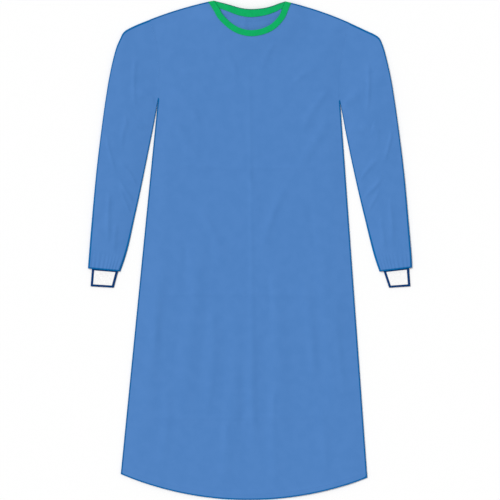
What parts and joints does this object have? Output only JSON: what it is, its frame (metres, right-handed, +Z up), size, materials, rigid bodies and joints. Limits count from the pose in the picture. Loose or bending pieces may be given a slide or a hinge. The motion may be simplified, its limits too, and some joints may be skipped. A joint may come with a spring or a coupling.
{
  "type": "surgical gown",
  "caption": "Long-sleeved surgical gown laid out flat, front up, with a lapped open back, a bound scoop neck and knit cuffs.",
  "frame": {"origin": "middle of the gown's footprint, on the surface that it lies on", "axes": "+X to the wearer's left, +Y up to the neck, +Z up off the surface, out of the gown's front"},
  "size_m": [0.81, 1.2473, 0.009],
  "materials": {
    "blue_nonwoven": "matte bonded nonwoven",
    "white_knit": "matte rib knit",
    "green_binding": "matte woven tape",
    "white_tape": "hook and loop tape"
  },
  "bodies": {
    "root": {"front_panel": "blue_nonwoven", "back_panel_right": "blue_nonwoven", "back_panel_left": "blue_nonwoven", "sleeve_right": "blue_nonwoven", "sleeve_left": "blue_nonwoven", "cuff_right": "white_knit", "cuff_left": "white_knit", "neck_binding_front": "green_binding", "neck_binding_back_right": "green_binding", "neck_binding_back_left": "green_binding", "neck_tape_hook": "white_tape", "neck_tape_loop": "white_tape"}
  },
  "joints": []
}
